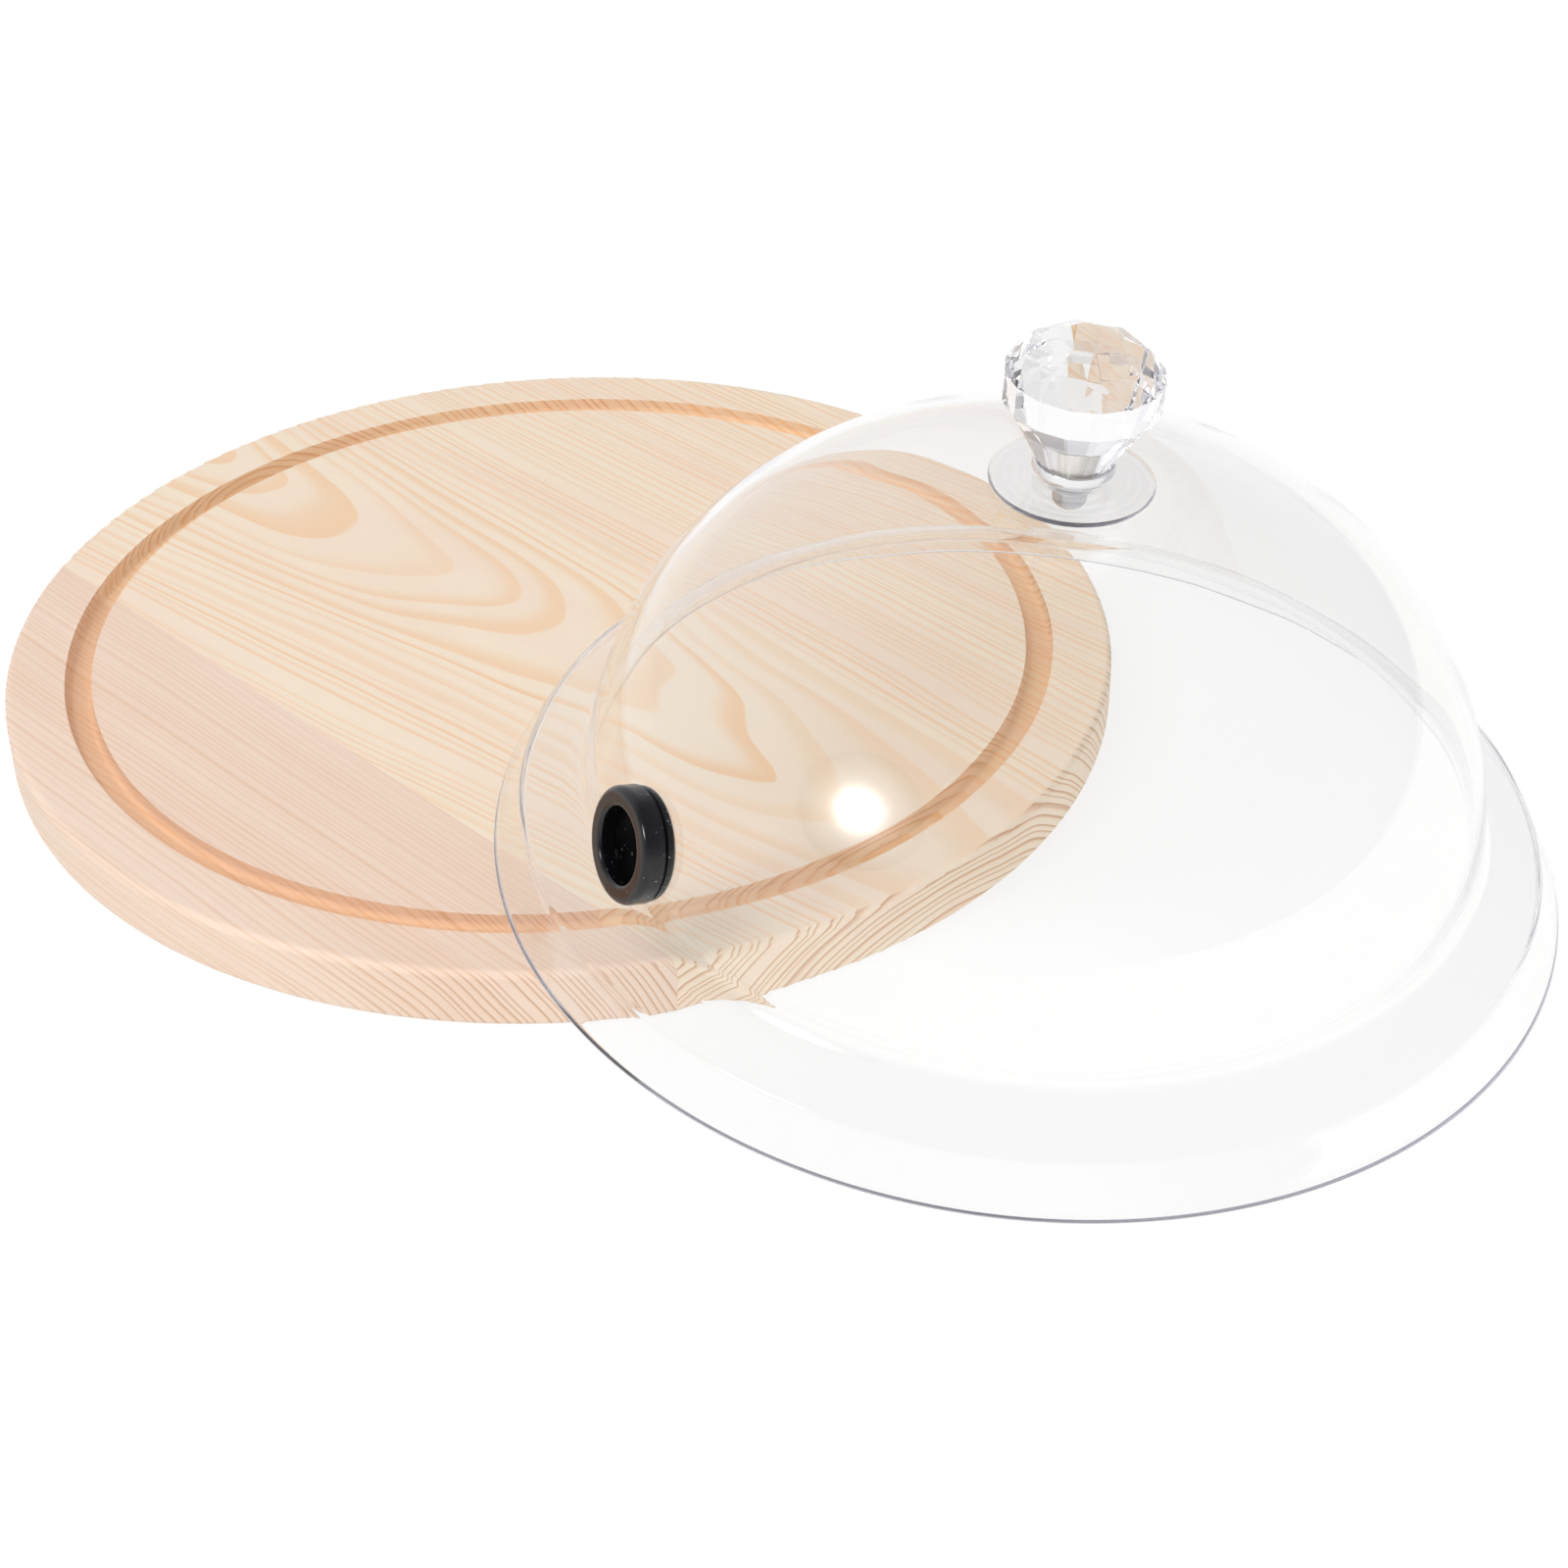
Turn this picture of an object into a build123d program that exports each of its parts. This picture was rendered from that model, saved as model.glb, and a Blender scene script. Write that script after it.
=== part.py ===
from build123d import *
import math
import os

# A round serving board and a clear dome that leans on its edge.
# Row frame, mm: origin at the centre of the board's underside, +Z up, and
# +X from the board's centre towards the centre of the leaning dome.
# Dome pieces are drawn upright, with the rim plane at height 0, and then
# tilted into place together.

# ---------------------------------------------------------------- sizes
# dome
WALL = 2.2
RIM_R = 132.9               # outer radius at the rim
RIM_ROUND = 0.6
SKIRT_FLARE = 6.7           # how far the skirt widens down to the rim
SKIRT_TOP_H = 13.0
SKIRT_ROUND = 2.4           # outer rounding between skirt and ledge
LEDGE_W = 10.8              # the sloping ledge, from the skirt's top inwards
LEDGE_IN_H = 16.6
FOOT_W = 4.5                # the foot curve, from the ledge to the bell's side
BELL_H = 96.2               # the bell is a superellipse, BELL_R by BELL_H
BELL_POWER = 2.16
BELL_BASE_H = 11.3          # level of the superellipse's centre
BELL_FOOT_H = 22.0          # where the bell gives way to the foot curve
CROWN_FLAT_R = 24.0         # inside this radius the crown is a spherical cap
CROWN_SPHERE_R = 181.5

# board
GROOVE_ROOM_OUT = 1.3       # between the rim and the groove's outer wall
GROOVE_ROOM_IN = 3.4        # between the rim and its inner wall
GROOVE_DEPTH = 4.0
GROOVE_ROUND = 1.6          # rounding where its walls meet its floor
BOARD_BORDER = 15.8         # flat ring outside the groove
BOARD_T = 16.0
BOARD_ROUND = 2.0           # rounding of both outer edges
GLUE_ANGLE = -8.4           # direction of the glue line, degrees from +X
GLUE_OFFSET = -77.0         # where the glue line crosses the Y axis

# lean
LEAN_OUT = 2.5              # the rim's centre lies this far outside the board
LEAN_GAP = 0.3              # air between the rim and the board's edge

# knob and its fixing
SCREW_R = 2.0               # M4
SCREW_ROOM = 0.15           # all round the screw in plate, cup and washer
CROWN_HOLE_ROOM = 0.5
GASKET_T = 0.6
PLATE_R = 19.4
PLATE_T = 1.2
PLATE_EDGE_T = 0.95
PLATE_SWELL = 0.2           # crowning of the plate's sloping ring
CUP_POCKET_R = 9.05         # inside of the cup, where the crystal's foot stands
CUP_WALL = 0.7
CUP_FOOT_IN = 1.35          # the cup's foot is this much slimmer than the cup
CUP_H = 3.9
CUP_FLOOR_T = 1.6
FOOT_ROOM = 0.05            # between the crystal's foot and the cup
CRYSTAL_PHASE = -45.2       # turn of the facets about the knob's axis
GIRDLE_R = 18.5             # corner radius of the crystal's widest band
INSERT_WALL = 1.3
INSERT_L = 10.0
FLANGE_T = 1.7
TOOTH_OUT_R = 7.3
TOOTH_IN_R = 6.5
TEETH = 24
WASHER_R = 4.5              # M4 washer and pan head
WASHER_T = 0.8
HEAD_R = 4.0
HEAD_H = 3.1
INNER_GASKET_EDGE = 1.0     # shows all round the washer
INNER_GASKET_T = 1.2

# hose port
PORT_AZIMUTH = -116.0       # direction round the dome, degrees from +X
PORT_H = 33.5               # height of its centre above the rim
GROMMET_BORE_R = 9.1        # seat for a nozzle, in the outer lip
CAVITY_ROOM = 0.9           # the cavity behind the seat is this much wider
NECK_T = 1.4                # rubber between the cavity and the wall's hole
LIP_W = 2.6                 # how far the lips overlap the wall
SEAT_LOW = 0.3              # the seat's inner end, above the wall's outer face
LIP_OUT = 4.4               # how far the lips stand out of and into the dome
LIP_IN = 3.0
MOUTH_ROUND = 1.1
WEB_T = 1.4
SLIT = 0.25

# ---------------------------------------------------------------- what follows from them
SKIRT_TOP_R = RIM_R - SKIRT_FLARE
LEDGE_IN_R = SKIRT_TOP_R - LEDGE_W
BELL_R = LEDGE_IN_R - FOOT_W
RIM_IN_R = RIM_R - WALL * math.hypot(1, SKIRT_FLARE / SKIRT_TOP_H)
CROWN_H = BELL_BASE_H + BELL_H

GROOVE_OUT_R = RIM_R + GROOVE_ROOM_OUT
GROOVE_IN_R = RIM_IN_R - GROOVE_ROOM_IN
BOARD_R = GROOVE_OUT_R + BOARD_BORDER
LEAN_X = BOARD_R + LEAN_OUT

SCREW_CLEAR_R = SCREW_R + SCREW_ROOM
CROWN_HOLE_R = SCREW_R + CROWN_HOLE_ROOM
CUP_R = CUP_POCKET_R + CUP_WALL
CUP_FOOT_R = CUP_R - CUP_FOOT_IN
INSERT_STEM_R = SCREW_R + INSERT_WALL
PLATE_TOP = CROWN_H + GASKET_T + PLATE_T
SEAT = PLATE_TOP + CUP_FLOOR_T      # the crystal's foot stands at this height

CAVITY_R = GROMMET_BORE_R + CAVITY_ROOM
PORT_HOLE_R = CAVITY_R + NECK_T
GROMMET_R = PORT_HOLE_R + LIP_W


# ---------------------------------------------------------------- helpers
def disc(r, z0, z1):
    return Pos(0, 0, (z0 + z1) / 2) * Cylinder(r, z1 - z0)


def near(sketch, point, tol=0.2):
    # corners of an upright sketch at (radius, height)
    return [v for v in sketch.vertices() if math.hypot(v.X - point[0], v.Z - point[1]) < tol]


def turned(points, rounds=()):
    # a ring of the closed section points, with (radius, height, rounding) corners
    outline = Plane.XZ * make_face(Polyline(*points, close=True))
    for r, z, size in rounds:
        outline = fillet(near(outline, (r, z)), size)
    return revolve(outline, axis=Axis.Z)


def unit(x, y):
    d = math.hypot(x, y)
    return (x / d, y / d)


# ---------------------------------------------------------------- board
def make_board():
    blank = disc(BOARD_R, 0, BOARD_T)
    blank = fillet(blank.edges().filter_by(GeomType.CIRCLE), BOARD_ROUND)
    floor = BOARD_T - GROOVE_DEPTH
    groove = turned(
        [
            (GROOVE_IN_R, BOARD_T + 1), (GROOVE_OUT_R, BOARD_T + 1),
            (GROOVE_OUT_R, floor), (GROOVE_IN_R, floor),
        ],
        rounds=[(GROOVE_OUT_R, floor, GROOVE_ROUND), (GROOVE_IN_R, floor, GROOVE_ROUND)],
    )
    return blank - groove


def side_of_glue_line(side):
    # a block that holds everything on one side of the glue line
    big = 3 * BOARD_R
    block = Pos(0, side * big / 2, BOARD_T / 2) * Box(2 * big, big, 2 * BOARD_T)
    return Pos(0, GLUE_OFFSET, 0) * Rot(0, 0, GLUE_ANGLE) * block


# ---------------------------------------------------------------- dome
def bell_radius(h):
    s = (h - BELL_BASE_H) / BELL_H
    return BELL_R * (1 - s ** BELL_POWER) ** (1 / BELL_POWER)


def bell_height(r):
    return BELL_BASE_H + BELL_H * (1 - (r / BELL_R) ** BELL_POWER) ** (1 / BELL_POWER)


def crown_height(r, out=0.0):
    # height of the crown's cap, or of a cap moved outwards from it
    rad = CROWN_SPHERE_R + out
    return CROWN_H - CROWN_SPHERE_R + math.sqrt(rad * rad - r * r)


def crown_arc(r_a, r_b, out=0.0):
    r_m = (r_a + r_b) / 2
    return ThreePointArc(
        (r_a, crown_height(r_a, out)),
        (r_m, crown_height(r_m, out)),
        (r_b, crown_height(r_b, out)),
    )


def bell_points(steps=14):
    # (radius, height) from the crown's cap down to the foot, in even turns
    exponent = 2 / BELL_POWER
    top = math.acos((CROWN_FLAT_R / BELL_R) ** (1 / exponent))
    low = math.asin(((BELL_FOOT_H - BELL_BASE_H) / BELL_H) ** (1 / exponent))
    lift = crown_height(CROWN_FLAT_R) - bell_height(CROWN_FLAT_R)
    points = []
    for i in range(steps + 1):
        t = top + (low - top) * i / steps
        r = BELL_R * math.cos(t) ** exponent
        blend = max(0.0, 1 - (r - CROWN_FLAT_R) / CROWN_FLAT_R)
        points.append((r, BELL_BASE_H + BELL_H * math.sin(t) ** exponent + lift * blend))
    return points


def moved_in(points, tangents, dist):
    # each point moved inwards, square to its tangent
    return [(r + ty * dist, h - tx * dist) for (r, h), (tx, ty) in zip(points, tangents)]


def crossing(p, u, q, v):
    # where the line through p along u meets the line through q along v
    t = ((q[0] - p[0]) * v[1] - (q[1] - p[1]) * v[0]) / (u[0] * v[1] - u[1] * v[0])
    return (p[0] + u[0] * t, p[1] + u[1] * t)


def dome_section():
    outer = bell_points()
    slope = CROWN_FLAT_R / CROWN_SPHERE_R
    last = unit(outer[-1][0] - outer[-2][0], outer[-1][1] - outer[-2][1])
    tangents = [(math.sqrt(1 - slope * slope), -slope)]
    for before, after in zip(outer[:-2], outer[2:]):
        tangents.append(unit(after[0] - before[0], after[1] - before[1]))
    tangents.append(unit(last[0] * 0.55, last[1]))
    inner = moved_in(outer, tangents, WALL)
    start, end = tangents[0], tangents[-1]

    ledge = unit(SKIRT_TOP_R - LEDGE_IN_R, SKIRT_TOP_H - LEDGE_IN_H)
    skirt = unit(RIM_R - SKIRT_TOP_R, -SKIRT_TOP_H)
    ledge_in = (LEDGE_IN_R, LEDGE_IN_H)
    skirt_top = (SKIRT_TOP_R, SKIRT_TOP_H)
    rim = (RIM_R, 0.0)
    inner_ledge, inner_skirt = moved_in([ledge_in, rim], [ledge, skirt], WALL)
    inner_corner = crossing(inner_ledge, ledge, inner_skirt, skirt)
    inner_rim = crossing(inner_skirt, skirt, (0, 0), (1, 0))

    def back(t):
        return (-t[0], -t[1])

    outside = [
        crown_arc(CROWN_HOLE_R, CROWN_FLAT_R),
        Spline(*outer, tangents=[start, end]),
        Spline(outer[-1], ledge_in, tangents=[end, ledge]),
        Line(ledge_in, skirt_top),
        Line(skirt_top, rim),
    ]
    inside = [
        Line(rim, inner_rim),
        Line(inner_rim, inner_corner),
        Line(inner_corner, inner_ledge),
        Spline(inner_ledge, inner[-1], tangents=[back(ledge), back(end)]),
        Spline(*reversed(inner), tangents=[back(end), back(start)]),
    ]
    cap = crown_arc(inner[0][0], CROWN_HOLE_R, -WALL)
    hole = Line(cap @ 1, outside[0] @ 0)
    section = Plane.XZ * make_face(outside + inside + [cap, hole])
    section = fillet(near(section, skirt_top), SKIRT_ROUND)
    section = fillet(near(section, inner_corner), SKIRT_ROUND / 2)
    return fillet(near(section, rim) + near(section, inner_rim), RIM_ROUND)


def port_place():
    # on the wall's outer face, with +Z straight out of the dome
    step = 0.5
    lean_in = bell_radius(PORT_H - step) - bell_radius(PORT_H + step)
    above_level = math.degrees(math.atan2(lean_in, 2 * step))
    outwards = Pos(bell_radius(PORT_H), 0, PORT_H) * Rot(0, 90 - above_level, 0)
    return Rot(0, 0, PORT_AZIMUTH) * outwards


def make_grommet():
    # heights are from the wall's outer face, outwards
    back, inner_r = -WALL - LIP_IN, GROMMET_R - 0.6
    ring = turned(
        [
            (CAVITY_R, back), (inner_r, back), (inner_r, -WALL / 2),
            (GROMMET_R, -WALL / 2), (GROMMET_R, LIP_OUT), (GROMMET_BORE_R, LIP_OUT),
            (GROMMET_BORE_R, SEAT_LOW), (CAVITY_R, SEAT_LOW - 1),
        ],
        rounds=[
            (GROMMET_R, LIP_OUT, 1.9), (GROMMET_BORE_R, LIP_OUT, MOUTH_ROUND),
            (inner_r, back, 1.3), (CAVITY_R, back, 0.8),
        ],
    )
    web_low = back + 1.0
    web = disc(CAVITY_R + 0.4, web_low, web_low + WEB_T)
    reach = 2 * CAVITY_R - 2
    slits = Box(reach, SLIT, 3 * WEB_T) + Box(SLIT, reach, 3 * WEB_T)
    return ring + (web - Pos(0, 0, web_low + WEB_T / 2) * Rot(0, 0, 20) * slits)


# ---------------------------------------------------------------- knob
def cap_washer(r_in, r_out, low, high):
    # a soft washer squeezed between two shells parallel to the crown
    low_arc, high_arc = crown_arc(r_in, r_out, low), crown_arc(r_in, r_out, high)
    sides = [Line(low_arc @ 0, high_arc @ 0), Line(low_arc @ 1, high_arc @ 1)]
    return revolve(Plane.XZ * make_face([low_arc, high_arc] + sides), axis=Axis.Z)


def make_plate():
    # follows the crown below, level under the cup, slightly domed outside it
    low = crown_arc(SCREW_CLEAR_R, PLATE_R, GASKET_T)
    edge_top = (PLATE_R, crown_height(PLATE_R, GASKET_T) + PLATE_EDGE_T)
    level_to = (CUP_FOOT_R + 0.2, PLATE_TOP)
    middle = ((edge_top[0] + level_to[0]) / 2, (edge_top[1] + level_to[1]) / 2 + PLATE_SWELL)
    swell = ThreePointArc(edge_top, middle, level_to)
    sides = [
        Line(low @ 1, edge_top), swell,
        Line(level_to, (SCREW_CLEAR_R, PLATE_TOP)),
        Line((SCREW_CLEAR_R, PLATE_TOP), low @ 0),
    ]
    plate = revolve(Plane.XZ * make_face([low] + sides), axis=Axis.Z)
    rims = plate.edges().filter_by(GeomType.CIRCLE).sort_by(SortBy.LENGTH)[-2:]
    return fillet(rims, 0.35)


def make_cup():
    z, top = PLATE_TOP, PLATE_TOP + CUP_H
    return turned(
        [
            (SCREW_CLEAR_R, z), (CUP_FOOT_R, z), (CUP_FOOT_R - 0.1, z + 1.0),
            (CUP_R - 0.25, z + 1.5), (CUP_R, z + 2.1), (CUP_R - 0.25, top),
            (CUP_POCKET_R, top), (CUP_POCKET_R, SEAT), (SCREW_CLEAR_R, SEAT),
        ],
        rounds=[(CUP_R - 0.25, top, 0.2), (CUP_FOOT_R, z, 0.25)],
    )


# corner rings of the crystal: (radius, height above the seat, corners)
CRYSTAL_RINGS = [
    (CUP_POCKET_R - 6 * FOOT_ROOM, 0.0, 16), (CUP_POCKET_R - FOOT_ROOM, 2.3, 16),
    (14.0, 11.6, 16), (GIRDLE_R, 18.0, 16),
    (GIRDLE_R, 25.3, 16), (14.2, 30.4, 8), (6.9, 33.8, 8),
]


def crystal_ring(r, z, n):
    angles = [math.radians(CRYSTAL_PHASE + 360 * k / n) for k in range(n)]
    return [Vector(r * math.cos(a), r * math.sin(a), SEAT + z) for a in angles]


def facet(*corners):
    return Face(Wire.make_polygon(corners, close=True))


def make_crystal_blank():
    rings = [crystal_ring(*ring) for ring in CRYSTAL_RINGS]
    facets = [facet(*reversed(rings[0])), facet(*rings[-1])]
    for low, high in zip(rings[:-1], rings[1:]):
        n, m = len(low), len(high)
        if n == m:
            facets += [facet(low[k - 1], low[k], high[k], high[k - 1]) for k in range(n)]
            continue
        # from sixteen corners to eight: three triangles for each upper corner
        for k in range(m):
            a0, a1, a2 = low[2 * k], low[2 * k + 1], low[(2 * k + 2) % n]
            b0, b1 = high[k], high[(k + 1) % m]
            facets += [facet(a0, a1, b0), facet(a1, a2, b1), facet(a1, b1, b0)]
    return Solid(Shell(facets))


def make_insert():
    star = []
    for k in range(2 * TEETH):
        r, a = (TOOTH_IN_R if k % 2 else TOOTH_OUT_R), math.pi * k / TEETH
        star.append((r * math.cos(a), r * math.sin(a)))
    flange = extrude(make_face(Polyline(*star, close=True)), FLANGE_T)
    insert = flange + disc(INSERT_STEM_R, 0, INSERT_L) - disc(SCREW_R, -1, INSERT_L - 1)
    return Pos(0, 0, SEAT) * insert


def make_crystal():
    recess = disc(TOOTH_OUT_R, -1, FLANGE_T) + disc(INSERT_STEM_R, 0, INSERT_L)
    return make_crystal_blank() - Pos(0, 0, SEAT) * recess


# ---------------------------------------------------------------- fixing under the crown
WASHER_TOP = -WALL - INNER_GASKET_T          # as a shift of the crown's cap
WASHER_LOW = crown_height(WASHER_R, WASHER_TOP) - WASHER_T


def make_washer():
    top = crown_arc(SCREW_CLEAR_R, WASHER_R, WASHER_TOP)
    low_out, low_in = (WASHER_R, WASHER_LOW), (SCREW_CLEAR_R, WASHER_LOW)
    sides = [Line(top @ 1, low_out), Line(low_out, low_in), Line(low_in, top @ 0)]
    return revolve(Plane.XZ * make_face([top] + sides), axis=Axis.Z)


def make_screw():
    low = WASHER_LOW - HEAD_H
    head = turned(
        [(0, low), (HEAD_R, low), (HEAD_R, WASHER_LOW), (0, WASHER_LOW)],
        rounds=[(HEAD_R, low, 1.1)],
    )
    shank = disc(SCREW_R, WASHER_LOW, SEAT + INSERT_L - 1.6)
    cross = Box(0.9, 4.4, 3.0) + Box(4.4, 0.9, 3.0)
    return head + shank - Pos(0, 0, low) * cross


# ---------------------------------------------------------------- leaning place of the dome
def lean_place():
    # the rim's inner edge meets the board's rounded top edge at two places
    edge_r, edge_z = BOARD_R - 0.3 * BOARD_ROUND, BOARD_T - 0.05 * BOARD_ROUND
    meet_x = (LEAN_X ** 2 + edge_r ** 2 - RIM_IN_R ** 2) / (2 * LEAN_X)
    angle = 0.0
    for _ in range(40):
        run = LEAN_X + RIM_R * math.cos(angle) - meet_x
        angle = math.atan((edge_z + LEAN_GAP) / run)
    return Pos(LEAN_X, 0, RIM_R * math.sin(angle)) * Rot(0, math.degrees(angle), 0)


# ---------------------------------------------------------------- assembly
board = make_board()
lean = lean_place()
port = port_place()
dome = revolve(dome_section(), axis=Axis.Z) - port * Cylinder(PORT_HOLE_R, 40)
grommet = port * make_grommet() - dome

upright = {
    "dome_shell": dome,
    "hose_grommet": grommet.solids().sort_by(SortBy.VOLUME)[-1],
    "knob_crystal": make_crystal(),
    "knob_insert": make_insert(),
    "knob_cup": make_cup(),
    "knob_plate": make_plate(),
    "gasket_outer": cap_washer(CROWN_HOLE_R, PLATE_R - 0.7, 0.0, GASKET_T),
    "gasket_inner": cap_washer(
        CROWN_HOLE_R, WASHER_R + INNER_GASKET_EDGE, WASHER_TOP, -WALL
    ),
    "washer_inner": make_washer(),
    "knob_screw": make_screw(),
}
nodes = {
    "board_plank_main": board & side_of_glue_line(+1),
    "board_plank_edge": board & side_of_glue_line(-1),
}
nodes.update({name: lean * shape for name, shape in upright.items()})

os.makedirs("parts", exist_ok=True)
for name, shape in nodes.items():
    solids = shape.solids()
    assert len(solids) == 1, name
    export_step(solids[0], f"parts/{name}.step")

port_frame = Plane(lean * port)
print("port", [round(v, 3) for v in port_frame.origin], [round(v, 5) for v in port_frame.z_dir])
print("lean", [round(v, 4) for v in lean.position], [round(v, 4) for v in lean.orientation])
print("gap to board", round(nodes["dome_shell"].distance_to(nodes["board_plank_main"]), 3))
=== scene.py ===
import math

import bmesh
import bpy
from mathutils import Matrix, Vector, noise


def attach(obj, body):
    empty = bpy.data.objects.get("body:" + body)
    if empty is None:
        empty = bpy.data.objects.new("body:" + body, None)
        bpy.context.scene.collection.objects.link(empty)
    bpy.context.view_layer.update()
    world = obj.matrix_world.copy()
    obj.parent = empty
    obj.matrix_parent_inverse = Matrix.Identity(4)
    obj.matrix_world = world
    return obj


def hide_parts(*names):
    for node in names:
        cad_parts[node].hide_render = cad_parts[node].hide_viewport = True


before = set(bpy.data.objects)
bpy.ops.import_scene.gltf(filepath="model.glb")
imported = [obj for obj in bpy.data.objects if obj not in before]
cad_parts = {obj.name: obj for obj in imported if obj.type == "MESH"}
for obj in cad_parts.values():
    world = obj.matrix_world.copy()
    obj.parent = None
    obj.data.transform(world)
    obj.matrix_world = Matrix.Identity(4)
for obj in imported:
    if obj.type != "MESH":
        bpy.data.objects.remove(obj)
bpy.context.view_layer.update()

# A round pine board and a clear dome that leans on its edge, in a bright studio.
# World frame, metres: origin at the centre of the board's underside, +Z up, and +X from the
# board's centre towards the leaning dome. The dome's mesh is drawn upright, with the rim at
# height 0, and then leaned as the CAD's dome is.

MM = 0.001

# ---------------------------------------------------------------- sizes, as the CAD has them
WALL = 2.2 * MM
RIM_R = 132.9 * MM
RIM_ROUND = 0.6 * MM
SKIRT_FLARE = 6.7 * MM
SKIRT_TOP_H = 13 * MM
SKIRT_ROUND = 2.4 * MM
LEDGE_W = 10.8 * MM
LEDGE_IN_H = 16.6 * MM
FOOT_W = 4.5 * MM
BELL_H = 96.2 * MM
BELL_POWER = 2.16
BELL_BASE_H = 11.3 * MM
BELL_FOOT_H = 22 * MM
CROWN_FLAT_R = 24 * MM
CROWN_SPHERE_R = 181.5 * MM
CROWN_HOLE_R = 2.5 * MM
GROOVE_ROOM_OUT = 1.3 * MM
GROOVE_ROOM_IN = 3.4 * MM
BOARD_BORDER = 15.8 * MM
BOARD_T = 16 * MM
LEAN_OUT = 2.5 * MM
LEAN_ANGLE = math.radians(4.8413)
PORT_AZIMUTH = math.radians(-116)
PORT_H = 33.5 * MM
PORT_HOLE_R = 11.4 * MM

# section points are (radius, height)
RIM = (RIM_R, 0.0)
SKIRT_TOP = (RIM_R - SKIRT_FLARE, SKIRT_TOP_H)
LEDGE_IN = (SKIRT_TOP[0] - LEDGE_W, LEDGE_IN_H)
BELL_R = LEDGE_IN[0] - FOOT_W
CROWN_H = BELL_BASE_H + BELL_H
RIM_IN_R = RIM_R - WALL * math.hypot(1, SKIRT_FLARE / SKIRT_TOP_H)
GROOVE_IN_R = RIM_IN_R - GROOVE_ROOM_IN
GROOVE_OUT_R = RIM_R + GROOVE_ROOM_OUT
LEAN_X = GROOVE_OUT_R + BOARD_BORDER + LEAN_OUT
LEAN = (Matrix.Translation((LEAN_X, 0, RIM_R * math.sin(LEAN_ANGLE)))
        @ Matrix.Rotation(LEAN_ANGLE, 4, "Y"))


# ---------------------------------------------------------------- node helpers
class Nodes:
    """The nodes of a material or a world, with short ways to add and link them."""

    def __init__(self, owner):
        owner.use_nodes = True
        self.owner = owner
        self.tree = owner.node_tree

    def set(self, node, socket, value):
        """Links an output to the node's input, or gives the input a constant."""
        target = node.inputs[socket]
        if isinstance(value, bpy.types.NodeSocket):
            self.tree.links.new(value, target)
        else:
            target.default_value = value

    def set_all(self, node, **inputs):
        """Sets inputs by name, with _ for each space."""
        for key, value in inputs.items():
            self.set(node, key.replace("_", " "), value)

    def add(self, kind, settings=(), **inputs):
        node = self.tree.nodes.new("ShaderNode" + kind)
        for key, value in dict(settings).items():
            setattr(node, key, value)
        self.set_all(node, **inputs)
        return node

    def add_with(self, kind, operation, values):
        node = self.add(kind, {"operation": operation})
        for i, value in enumerate(values):
            self.set(node, i, value)
        return node

    def math(self, operation, *values):
        return self.add_with("Math", operation, values).outputs[0]

    def vector(self, operation, *values):
        return self.add_with("VectorMath", operation, values).outputs["Vector"]

    def measure(self, operation, *values):
        """A vector operation that gives a number."""
        return self.add_with("VectorMath", operation, values).outputs["Value"]

    def parts(self, vector):
        return self.add("SeparateXYZ", Vector=vector).outputs

    def mix(self, factor, a, b, blend="MIX"):
        node = self.add("Mix", {"data_type": "RGBA", "blend_type": blend})
        for socket, value in ((0, factor), (6, a), (7, b)):
            self.set(node, socket, value)
        return node.outputs[2]

    def noise(self, vector, scale, detail, roughness):
        node = self.add("TexNoise", Vector=vector, Scale=scale, Detail=detail, Roughness=roughness)
        return node.outputs

    def smooth(self, value, low, high, to_low=0.0, to_high=1.0):
        """A smooth step from to_low, at low, to to_high, at high."""
        node = self.add("MapRange", {"interpolation_type": "SMOOTHSTEP"}, Value=value,
                        From_Min=low, From_Max=high, To_Min=to_low, To_Max=to_high)
        return node.outputs[0]

    def principled(self, **inputs):
        shader = self.tree.nodes["Principled BSDF"]
        self.set_all(shader, **inputs)
        return shader.outputs[0]

    def surface(self, shader):
        self.set(self.tree.nodes["Material Output"], "Surface", shader)


def new_material(name):
    return Nodes(bpy.data.materials.new(name))


def add_object(name, data):
    piece = bpy.data.objects.new(name, data)
    bpy.context.scene.collection.objects.link(piece)
    return piece


# ---------------------------------------------------------------- wood
FIBRE_BROWN = (0.55, 0.36, 0.22, 1)
END_GRAIN_BROWN = (0.56, 0.34, 0.20, 1)
GROOVE_TONE_AND_PAINTED_SHADE = (1.03, 0.86, 0.68, 1)    # the cut groove's own warmer tone, and painted shade of the recess
BEND = 10 * MM                          # room in which a growth ring wanders
BEND_WAVES = (5.0, 16.0, 16.0)          # waves in a metre, along the grain and across it
FIBRES = (18.0, 1700.0, 1700.0)         # the same for the fine fibres
CLOUDS = (9.0, 45.0, 45.0)              # and for the broad changes of tone
RING_DARKENS = (0.35, 0.86)             # parts of the way through a growth ring
LINE_DARKENS = (0.62, 0.9)
RING_ENDS = (0.93, 1.0)


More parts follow.
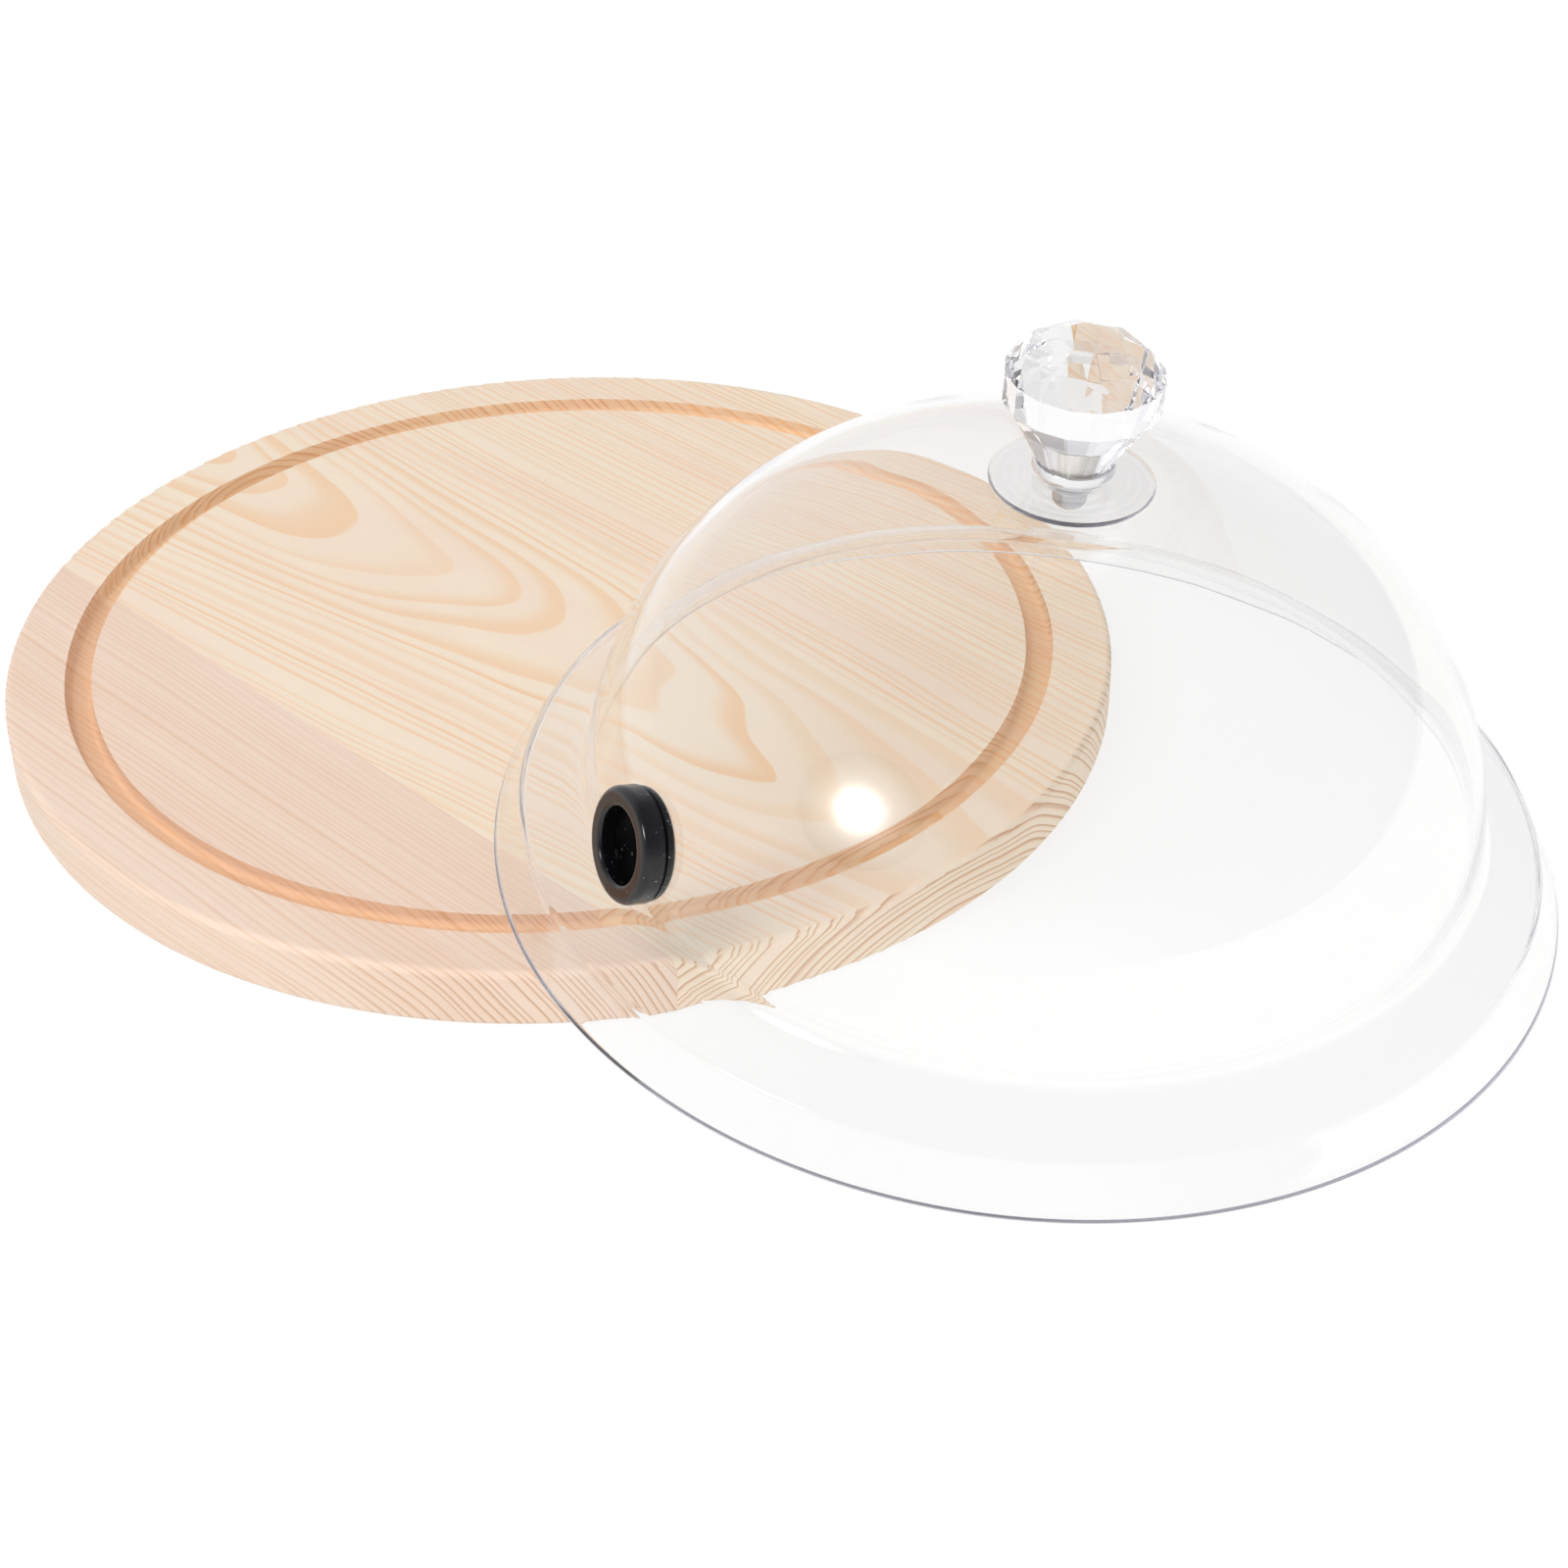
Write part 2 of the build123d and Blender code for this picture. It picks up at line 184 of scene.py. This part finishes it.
def growth_rings(n, grain, ring_width, phase):
    """How far a place lies through its growth ring, from 0 to 1, and that ring's number."""
    waves = n.vector("ADD", n.vector("MULTIPLY", grain, BEND_WAVES), (phase, phase, 0))
    bend = n.noise(waves, 1.0, 2.0, 0.45)["Color"]
    shift = n.vector("MULTIPLY", n.vector("SUBTRACT", bend, (0.5, 0.5, 0.5)), (0, BEND, BEND))
    bent = n.parts(n.vector("ADD", grain, shift))
    squared = n.math("ADD", n.math("MULTIPLY", bent[1], bent[1]), n.math("MULTIPLY", bent[2], bent[2]))
    even = n.math("DIVIDE", n.math("SQRT", squared), ring_width)
    pace = n.add("TexNoise", {"noise_dimensions": "1D"}, W=even, Scale=0.31, Detail=2.0, Roughness=0.5)
    turns = n.math("ADD", even, n.math("MULTIPLY", pace.outputs["Fac"], 2.2))
    return n.math("FRACT", turns), n.math("FLOOR", turns)


def groove_mask(n, place):
    """1 on the walls and floor of the board's groove, 0 elsewhere."""
    radius = n.measure("LENGTH", n.vector("MULTIPLY", place, (1, 1, 0)))
    outside = n.smooth(radius, GROOVE_IN_R - 0.6 * MM, GROOVE_IN_R + 0.5 * MM)
    inside = n.smooth(radius, GROOVE_OUT_R - 0.5 * MM, GROOVE_OUT_R + 0.6 * MM, 1.0, 0.0)
    below = n.smooth(n.parts(place)[2], BOARD_T - 0.3 * MM, BOARD_T + 0.1 * MM, 1.0, 0.0)
    return n.math("MULTIPLY", n.math("MULTIPLY", outside, inside), below)


def make_wood(name, log_axis, plan_angle, tilt, ring_width, early, late, phase):
    """Pine cut from a log whose axis runs through log_axis, turned in plan and tilted."""
    n = new_material(name)
    place = n.add("TexCoord").outputs["Object"]
    turn = n.add("VectorRotate", {"rotation_type": "EULER_XYZ", "invert": True})
    n.set(turn, "Vector", n.vector("SUBTRACT", place, log_axis))
    n.set(turn, "Rotation", (0, tilt, plan_angle))
    grain = turn.outputs[0]

    # each ring darkens slowly and ends sharply, and some rings are stronger than others
    part, number = growth_rings(n, grain, ring_width, phase)
    ring_end = n.smooth(part, *RING_ENDS, 1.0, 0.0)
    band = n.math("MULTIPLY", n.smooth(part, *RING_DARKENS), ring_end)
    strength = n.add("TexWhiteNoise", {"noise_dimensions": "1D"}, W=number).outputs[0]
    band = n.math("MULTIPLY", band, n.math("ADD", 0.35, n.math("MULTIPLY", strength, 0.65)))

    cloud = n.noise(n.vector("MULTIPLY", grain, CLOUDS), 1.0, 2.0, 0.5)["Fac"]
    fibre = n.noise(n.vector("MULTIPLY", grain, FIBRES), 1.0, 3.0, 0.6)["Fac"]
    colour = n.mix(n.smooth(cloud, 0.35, 0.7), early[0], early[1])
    colour = n.mix(band, colour, late)
    colour = n.mix(n.math("MULTIPLY", n.smooth(fibre, 0.45, 0.75), 0.08), colour, FIBRE_BROWN)

    # where the grain runs out of the edge, each ring shows as a thin dark line
    normal = n.add("NewGeometry").outputs["True Normal"]
    facing = n.measure("DOT_PRODUCT", normal, (math.cos(plan_angle), math.sin(plan_angle), 0))
    end_grain = n.smooth(n.math("ABSOLUTE", facing), 0.25, 0.75)
    lines = n.math("MULTIPLY", n.smooth(part, *LINE_DARKENS), ring_end)
    groove = groove_mask(n, place)
    kept = n.math("SUBTRACT", 1.0, n.math("MULTIPLY", groove, 0.7))
    dark_lines = n.math("MULTIPLY", n.math("MULTIPLY", end_grain, lines), kept)
    colour = n.mix(dark_lines, colour, END_GRAIN_BROWN)
    # the groove's walls and floor are warmed and darkened: partly the cut's own tone, partly painted
    # shade of the recess
    colour = n.mix(groove, colour, GROOVE_TONE_AND_PAINTED_SHADE, "MULTIPLY")

    height = n.math("ADD", fibre, n.math("MULTIPLY", band, -0.6))
    bump = n.add("Bump", Strength=0.25, Distance=0.1 * MM, Height=height)
    n.principled(Base_Color=colour, Roughness=0.55, Normal=bump.outputs[0])
    return n.owner


# ---------------------------------------------------------------- other materials
TRAPPED_AFTER = 9                       # surfaces after which light caught in a clear wall leaves it
TRAPPED_TINT = (0.80, 0.80, 0.84, 1)    # and the tint that it then has


def make_clear(name, colour, ior, roughness=0.0, shade=(0.985, 0.985, 0.985, 1)):
    """Clear plastic or glass that bends what is seen through it.

    Shadow rays and diffuse rays go straight through, tinted by shade, so that lamp light
    reaches what is below.
    """
    n = new_material(name)
    bending = n.principled(Base_Color=colour, Roughness=roughness, IOR=ior, Transmission_Weight=1.0)
    path = n.add("LightPath").outputs
    trapped = n.math("GREATER_THAN", path["Ray Depth"], TRAPPED_AFTER)
    straight = n.math("MAXIMUM", path["Is Shadow Ray"], path["Is Diffuse Ray"])
    straight = n.math("MAXIMUM", straight, trapped)
    through = n.add("BsdfTransparent", Color=n.mix(trapped, shade, TRAPPED_TINT))
    both = n.add("MixShader")
    for socket, value in ((0, straight), (1, bending), (2, through.outputs[0])):
        n.set(both, socket, value)
    n.surface(both.outputs[0])
    return n.owner


def make_metal(name, colour, roughness):
    n = new_material(name)
    n.principled(Base_Color=colour, Roughness=roughness, Metallic=1.0)
    return n.owner


def make_rubber(name):
    """Shiny black rubber with a fine skin and a few specks of dust."""
    n = new_material(name)
    place = n.add("TexCoord").outputs["Object"]
    skin = n.noise(place, 2500, 3.0, 0.6)["Fac"]
    bump = n.add("Bump", Strength=0.1, Distance=0.02 * MM, Height=skin)
    specks = n.smooth(n.noise(place, 1400, 1.0, 0.5)["Fac"], 0.75, 0.77)
    colour = n.mix(specks, (0.004, 0.004, 0.005, 1), (0.35, 0.35, 0.36, 1))
    n.principled(Base_Color=colour, Roughness=0.16, Normal=bump.outputs[0])
    return n.owner


# ---------------------------------------------------------------- section drawing
def unit(x, y):
    length = math.hypot(x, y)
    return (x / length, y / length)


def back(way):
    return (-way[0], -way[1])


def moved_in(point, way, distance):
    """A section point moved to the dome's inner side, square to the way that the outline runs."""
    return (point[0] + way[1] * distance, point[1] - way[0] * distance)


def crossing(p, u, q, v):
    """Where the line through p along u meets the line through q along v."""
    t = ((q[0] - p[0]) * v[1] - (q[1] - p[1]) * v[0]) / (u[0] * v[1] - u[1] * v[0])
    return (p[0] + u[0] * t, p[1] + u[1] * t)


def line(p, q, steps):
    """The points from p to q, without p."""
    return [tuple(p[k] + (q[k] - p[k]) * i / steps for k in (0, 1)) for i in range(1, steps + 1)]


def hermite(p, way_p, q, way_q, steps):
    """A smooth curve from p to q that leaves and arrives along two ways, without p."""
    reach = math.dist(p, q)
    points = []
    for i in range(1, steps + 1):
        t = i / steps
        at_p = 2 * t ** 3 - 3 * t ** 2 + 1
        at_q = 3 * t ** 2 - 2 * t ** 3
        along_p = (t ** 3 - 2 * t ** 2 + t) * reach
        along_q = (t ** 3 - t ** 2) * reach
        points.append(tuple(at_p * p[k] + at_q * q[k] + along_p * way_p[k] + along_q * way_q[k]
                            for k in (0, 1)))
    return points


def rounded(before, corner, after, radius, steps):
    """The arc that rounds a corner of the section, without its first point."""
    u = unit(before[0] - corner[0], before[1] - corner[1])
    v = unit(after[0] - corner[0], after[1] - corner[1])
    half = math.acos(u[0] * v[0] + u[1] * v[1]) / 2
    cut = radius / math.tan(half)
    start = (corner[0] + u[0] * cut, corner[1] + u[1] * cut)
    end = (corner[0] + v[0] * cut, corner[1] + v[1] * cut)
    turn = math.pi - 2 * half
    pull = turn / (2 * math.sin(turn / 2))
    return hermite(start, (-u[0] * pull, -u[1] * pull), end, (v[0] * pull, v[1] * pull), steps)


# ---------------------------------------------------------------- dome
BELL_STEPS = 60
CAP_STEPS = 10
FOOT_STEPS = 12
STRAIGHT_STEPS = 8
SKIRT_ARC_STEPS = 8
RIM_ARC_STEPS = 5
LOW_ARC_STEPS = 6
TURNS = 360                             # faces round the dome
FOOT_PULL = 0.55                        # how steeply the bell runs into the foot curve
LOW_CORNER_ROUND = 1.2 * MM
LONG_WAVE = 0.25 * MM                   # how far the moulded wall wanders, all round,
LEDGE_WAVE = 0.5 * MM                   # near the ledge
SIDE_WAVE = 0.06 * MM                   # and on each side by itself
LEDGE_DRAW = 0.25 * MM                  # how far the wall is drawn in near the ledge


def bell_radius(height):
    s = (height - BELL_BASE_H) / BELL_H
    return BELL_R * (1 - s ** BELL_POWER) ** (1 / BELL_POWER)


def crown_height(r, out=0.0):
    """Height of the crown's spherical cap, or of a surface that lies outside it by out."""
    return CROWN_H - CROWN_SPHERE_R + math.sqrt((CROWN_SPHERE_R + out) ** 2 - r * r)


def bell_outline(steps):
    """The bell's outside, from the edge of the crown's cap down to the foot."""
    exponent = 2 / BELL_POWER
    top = math.acos((CROWN_FLAT_R / BELL_R) ** (1 / exponent))
    low = math.asin(((BELL_FOOT_H - BELL_BASE_H) / BELL_H) ** (1 / exponent))
    lift = crown_height(CROWN_FLAT_R) - BELL_BASE_H - BELL_H * math.sin(top) ** exponent
    points = []
    for i in range(steps + 1):
        t = top + (low - top) * i / steps
        r = BELL_R * math.cos(t) ** exponent
        blend = max(0.0, 1 - (r - CROWN_FLAT_R) / CROWN_FLAT_R)
        points.append((r, BELL_BASE_H + BELL_H * math.sin(t) ** exponent + lift * blend))
    return points


def dome_section():
    """The closed section of the shell: down the outside from the crown's hole and back up the inside."""
    bell = bell_outline(BELL_STEPS)
    steps = [unit(b[0] - a[0], b[1] - a[1]) for a, b in zip(bell, bell[1:])]
    between = [unit(a[0] + b[0], a[1] + b[1]) for a, b in zip(steps, steps[1:])]
    ways = [steps[0]] + between + [steps[-1]]
    foot_way = unit(ways[-1][0] * FOOT_PULL, ways[-1][1])
    inner_bell = [moved_in(p, way, WALL) for p, way in zip(bell, ways)]
    ledge = unit(SKIRT_TOP[0] - LEDGE_IN[0], SKIRT_TOP[1] - LEDGE_IN[1])
    skirt = unit(RIM[0] - SKIRT_TOP[0], RIM[1] - SKIRT_TOP[1])
    ledge_in_low = moved_in(LEDGE_IN, ledge, WALL)
    rim_low = moved_in(RIM, skirt, WALL)
    low_corner = crossing(ledge_in_low, ledge, rim_low, skirt)
    rim_in = crossing(rim_low, skirt, (0, 0), (1, 0))
    above_rim = (RIM[0] - RIM_ROUND / 2, RIM[1] + RIM_ROUND)
    cap = [CROWN_HOLE_R + (CROWN_FLAT_R - CROWN_HOLE_R) * i / CAP_STEPS for i in range(CAP_STEPS)]

    outside = [(r, crown_height(r)) for r in cap] + bell
    outside += hermite(bell[-1], foot_way, LEDGE_IN, ledge, FOOT_STEPS)
    outside += rounded(LEDGE_IN, SKIRT_TOP, RIM, SKIRT_ROUND, SKIRT_ARC_STEPS)
    outside += line(outside[-1], above_rim, STRAIGHT_STEPS)
    outside += rounded(SKIRT_TOP, RIM, rim_in, RIM_ROUND, RIM_ARC_STEPS)
    inside = rounded(RIM, rim_in, low_corner, RIM_ROUND, RIM_ARC_STEPS)
    inside += line(inside[-1], low_corner, STRAIGHT_STEPS)[:-1]
    inside += rounded(rim_in, low_corner, ledge_in_low, LOW_CORNER_ROUND, LOW_ARC_STEPS)
    inside += [ledge_in_low]
    inside += hermite(ledge_in_low, back(ledge), inner_bell[-1], back(foot_way), FOOT_STEPS)
    inside += inner_bell[-2::-1]
    inside += [(r, crown_height(r, -WALL)) for r in reversed(cap)]
    return outside + inside


def unevenness(r, z, angle, is_outside):
    """A point of the shell moved as a moulded wall wanders.

    The waves are long all round and short near the ledge, and the rim and crown stay true.
    """
    at = Vector((math.cos(angle), math.sin(angle), z * 12))
    above_rim = min(1.0, max(0.0, (z - 1 * MM) / (8 * MM)))
    off_crown = min(1.0, max(0.0, (r - 30 * MM) / (30 * MM)))
    near_ledge = math.exp(-((z - 16 * MM) / (9 * MM)) ** 2)
    long_wave = LONG_WAVE * noise.noise(at * 1.7)
    ledge_wave = LEDGE_WAVE * near_ledge * noise.noise(at * 3.1 + Vector((7, 3, 1)))
    side_wave = SIDE_WAVE * noise.noise(at * 4.3 + Vector((0, 0, 9 if is_outside else 21)))
    keep = above_rim * off_crown
    shift = (long_wave + ledge_wave + side_wave) * keep
    return r + shift - LEDGE_DRAW * keep * near_ledge, z + 0.5 * shift * near_ledge


def lathe(name, section, turns, wobble):
    """A closed ring of a section, as a smooth mesh; wobble moves each point."""
    count = len(section)
    points = []
    faces = []
    for k in range(turns):
        angle = 2 * math.pi * k / turns
        here = k * count
        there = (k + 1) % turns * count
        for i, (r, z) in enumerate(section):
            r, z = wobble(r, z, angle, i < count // 2)
            points.append((r * math.cos(angle), r * math.sin(angle), z))
            j = (i + 1) % count
            faces.append((here + i, here + j, there + j, there + i))
    mesh = bpy.data.meshes.new(name)
    mesh.from_pydata(points, [], faces)
    mesh.shade_smooth()
    return add_object(name, mesh)


def cut_by(piece, tool):
    """Takes the tool's volume out of the piece."""
    cut = piece.modifiers.new("cut", "BOOLEAN")
    cut.operation = "DIFFERENCE"
    cut.object = tool
    cut.solver = "EXACT"
    mesh = bpy.data.meshes.new_from_object(piece.evaluated_get(bpy.context.evaluated_depsgraph_get()))
    piece.modifiers.clear()
    piece.data = mesh
    bpy.data.objects.remove(tool)


def make_dome():
    """The clear shell: a lathed wall, slightly uneven, with the hose port's hole."""
    piece = lathe("dome_wall", dome_section(), TURNS, unevenness)
    step = 0.5 * MM
    slope = math.atan2(bell_radius(PORT_H - step) - bell_radius(PORT_H + step), 2 * step)
    bpy.ops.mesh.primitive_cylinder_add(vertices=96, radius=PORT_HOLE_R, depth=40 * MM)
    drill = bpy.context.object
    drill.matrix_world = (Matrix.Rotation(PORT_AZIMUTH, 4, "Z")
                          @ Matrix.Translation((bell_radius(PORT_H), 0, PORT_H))
                          @ Matrix.Rotation(math.pi / 2 - slope, 4, "Y"))
    bpy.context.view_layer.update()
    cut_by(piece, drill)
    piece.data.transform(LEAN)
    piece.data.set_sharp_from_angle(angle=math.radians(40))
    return piece


# ---------------------------------------------------------------- crystal
FOOT_EDGES_R = 8.5 * MM                 # edges within this radius are the foot's and stay sharp,
TOP_FACETS_H = CROWN_H + 30 * MM        # unless they are above this height, among the top facets


def make_crystal():
    """The CAD crystal with its flat facets whole again and their edges eased."""
    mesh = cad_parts["knob_crystal"].data.copy()
    mesh.name = "crystal_facets"
    work = bmesh.new()
    work.from_mesh(mesh)
    bmesh.ops.remove_doubles(work, verts=work.verts, dist=0.002 * MM)
    bmesh.ops.dissolve_limit(work, angle_limit=math.radians(0.8), verts=work.verts, edges=work.edges)
    upright = LEAN.inverted()

    def on_a_facet(vertex):
        place = upright @ vertex.co
        return place.xy.length > FOOT_EDGES_R or place.z > TOP_FACETS_H

    eased = [edge for edge in work.edges
             if len(edge.link_faces) == 2 and edge.calc_face_angle(0) >= math.radians(6)
             and all(on_a_facet(vertex) for vertex in edge.verts)]
    bmesh.ops.bevel(work, geom=eased, offset=0.12 * MM, segments=2, profile=0.5, affect="EDGES",
                    clamp_overlap=True)
    work.to_mesh(mesh)
    work.free()
    mesh.shade_flat()
    return add_object("crystal_facets", mesh)


# ---------------------------------------------------------------- stage, lights, camera
LAMPS_AIM = Vector((0.08, 0, 0.05))     # between the board and the dome
CAMERA_PLACE = (0.499985, -0.545573, 0.483390)
CAMERA_AZIMUTH = math.radians(37.83)    # from -Y towards +X
CAMERA_ELEVATION = math.radians(35.15)
CAMERA_ROLL = math.radians(-0.936)
CAMERA_LENS = 73.08


def direction(azimuth, elevation):
    """The unit vector towards an azimuth, clockwise from +Y, and an elevation, in degrees."""
    a = math.radians(azimuth)
    e = math.radians(elevation)
    return Vector((math.sin(a) * math.cos(e), math.cos(a) * math.cos(e), math.sin(e)))


def make_floor():
    bpy.ops.mesh.primitive_plane_add(size=16)
    floor = bpy.context.object
    floor.name = "floor"
    n = new_material("pale_floor")
    n.principled(Base_Color=(0.12, 0.12, 0.12, 1), Roughness=0.9, Specular_IOR_Level=0.0,
                 Emission_Color=(1, 0.998, 0.992, 1), Emission_Strength=0.885)
    floor.data.materials.append(n.owner)


def make_world(fill, dim, screen, screen_way, dark_way):
    """A studio that is dim above, pale near the floor but less so towards dark_way, with one pale screen.

    Matt surfaces get an even fill instead.
    """
    n = Nodes(bpy.data.worlds.new("studio"))
    way = n.add("TexCoord").outputs["Generated"]
    glow = n.smooth(n.measure("DOT_PRODUCT", way, screen_way), 0.35, 0.95, dim, screen)
    near_floor = n.smooth(n.measure("DOT_PRODUCT", way, dark_way), 0.1, 0.9, 0.98, 0.5)
    walls = n.smooth(n.parts(way)[2], 0.0, 0.6, near_floor, dim)
    level = n.add("Mix")
    is_matt = n.add("LightPath").outputs["Is Diffuse Ray"]
    for socket, value in ((0, is_matt), (2, n.math("MAXIMUM", walls, glow)), (3, fill)):
        n.set(level, socket, value)
    n.set_all(n.tree.nodes["Background"], Color=(0.95, 0.945, 1.0, 1), Strength=level.outputs[0])
    bpy.context.scene.world = n.owner


def make_key(way, distance, core, reach, strength):
    """A round lamp that is brightest within core and fades out to reach, facing the object."""
    bpy.ops.mesh.primitive_circle_add(vertices=64, radius=reach, fill_type="NGON")
    lamp = bpy.context.object
    lamp.name = "key"
    facing = way.to_track_quat("Z", "Y").to_matrix().to_4x4()
    lamp.matrix_world = Matrix.Translation(LAMPS_AIM + way * distance) @ facing
    lamp.visible_camera = False
    n = new_material("key_glow")
    out = n.measure("LENGTH", n.add("TexCoord").outputs["Object"])
    fade = n.smooth(out, core, reach, 1.0, 0.0)
    profile = n.math("ADD", n.math("POWER", fade, 6.0), n.math("MULTIPLY", fade, 0.12))
    n.surface(n.add("Emission", Strength=n.math("MULTIPLY", profile, strength)).outputs[0])
    lamp.data.materials.append(n.owner)


def make_soft_light(way, distance, size, power):
    """A large lamp that shapes matt surfaces and shows in no reflection."""
    data = bpy.data.lights.new("soft_light", "AREA")
    data.shape = "DISK"
    data.size = size
    data.energy = power
    lamp = add_object("soft_light", data)
    lamp.location = LAMPS_AIM + way * distance
    lamp.rotation_euler = way.to_track_quat("Z", "Y").to_euler()
    lamp.visible_camera = False
    lamp.visible_glossy = False
    lamp.visible_transmission = False


def make_camera():
    flat = math.cos(CAMERA_ELEVATION)
    away = Vector((math.sin(CAMERA_AZIMUTH) * flat, -math.cos(CAMERA_AZIMUTH) * flat,
                   math.sin(CAMERA_ELEVATION)))
    data = bpy.data.cameras.new("camera")
    data.lens = CAMERA_LENS
    data.sensor_width = 36
    data.clip_start = 0.02
    camera = add_object("camera", data)
    turn = Matrix.Rotation(CAMERA_ROLL, 4, away) @ away.to_track_quat("Z", "Y").to_matrix().to_4x4()
    camera.matrix_world = Matrix.Translation(CAMERA_PLACE) @ turn
    bpy.context.scene.camera = camera


make_floor()
make_world(fill=0.73, dim=0.30, screen=0.95, screen_way=direction(-75, 15), dark_way=direction(55, 0))
make_key(direction(-166.8, 34.0), distance=2.0, core=0.03, reach=0.6, strength=23)
make_soft_light(direction(-160, 56), distance=2.2, size=1.6, power=21)
make_soft_light(direction(110, 25), distance=2.2, size=1.6, power=13)
make_camera()


# ---------------------------------------------------------------- pieces
def wear(mesh, material):
    mesh.materials.clear()
    mesh.materials.append(material)


def paint(node, material):
    wear(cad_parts[node].data, material)


paint("board_plank_main", make_wood(
    "pine_main", log_axis=(-0.15, 0.01, -0.045), plan_angle=math.radians(-6), tilt=math.radians(3),
    ring_width=2.0 * MM, early=((0.79, 0.675, 0.52, 1), (0.785, 0.635, 0.495, 1)),
    late=(0.775, 0.52, 0.30, 1), phase=3.0))
paint("board_plank_edge", make_wood(
    "pine_edge", log_axis=(-0.15, -0.20, -0.05), plan_angle=math.radians(-8), tilt=math.radians(1),
    ring_width=1.6 * MM, early=((0.757, 0.60, 0.48, 1), (0.74, 0.565, 0.44, 1)),
    late=(0.70, 0.49, 0.34, 1), phase=9.0))
acrylic = make_clear("clear_acrylic", (0.97, 0.972, 0.967, 1), 1.49, shade=(1, 1, 1, 1))
glass = make_clear("knob_glass", (1, 1, 1, 1), 1.52)
dome = make_dome()
wear(dome.data, acrylic)
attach(dome, "dome")
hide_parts("dome_shell")
crystal = make_crystal()
wear(crystal.data, glass)
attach(crystal, "dome")
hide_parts("knob_crystal")
paint("gasket_outer", make_clear("clear_silicone", (1, 1, 1, 1), 1.43, 0.02))
paint("gasket_inner", bpy.data.materials["clear_silicone"])     # the CAD's own material
chrome = make_metal("chrome", (0.85, 0.85, 0.86, 1), 0.04)
paint("knob_plate", make_clear("clear_disc", (1, 1, 1, 1), 1.49))
paint("knob_cup", chrome)
paint("knob_insert", make_metal("insert_metal", (0.95, 0.91, 0.84, 1), 0.3))
steel = make_metal("steel", (0.6, 0.6, 0.61, 1), 0.25)
paint("washer_inner", steel)
paint("knob_screw", steel)
paint("hose_grommet", make_rubber("black_rubber"))

# ---------------------------------------------------------------- settings
scene = bpy.context.scene
scene.view_settings.view_transform = "Standard"
scene.cycles.max_bounces = 24
scene.cycles.transmission_bounces = 24
scene.cycles.glossy_bounces = 24
scene.cycles.use_denoising = True
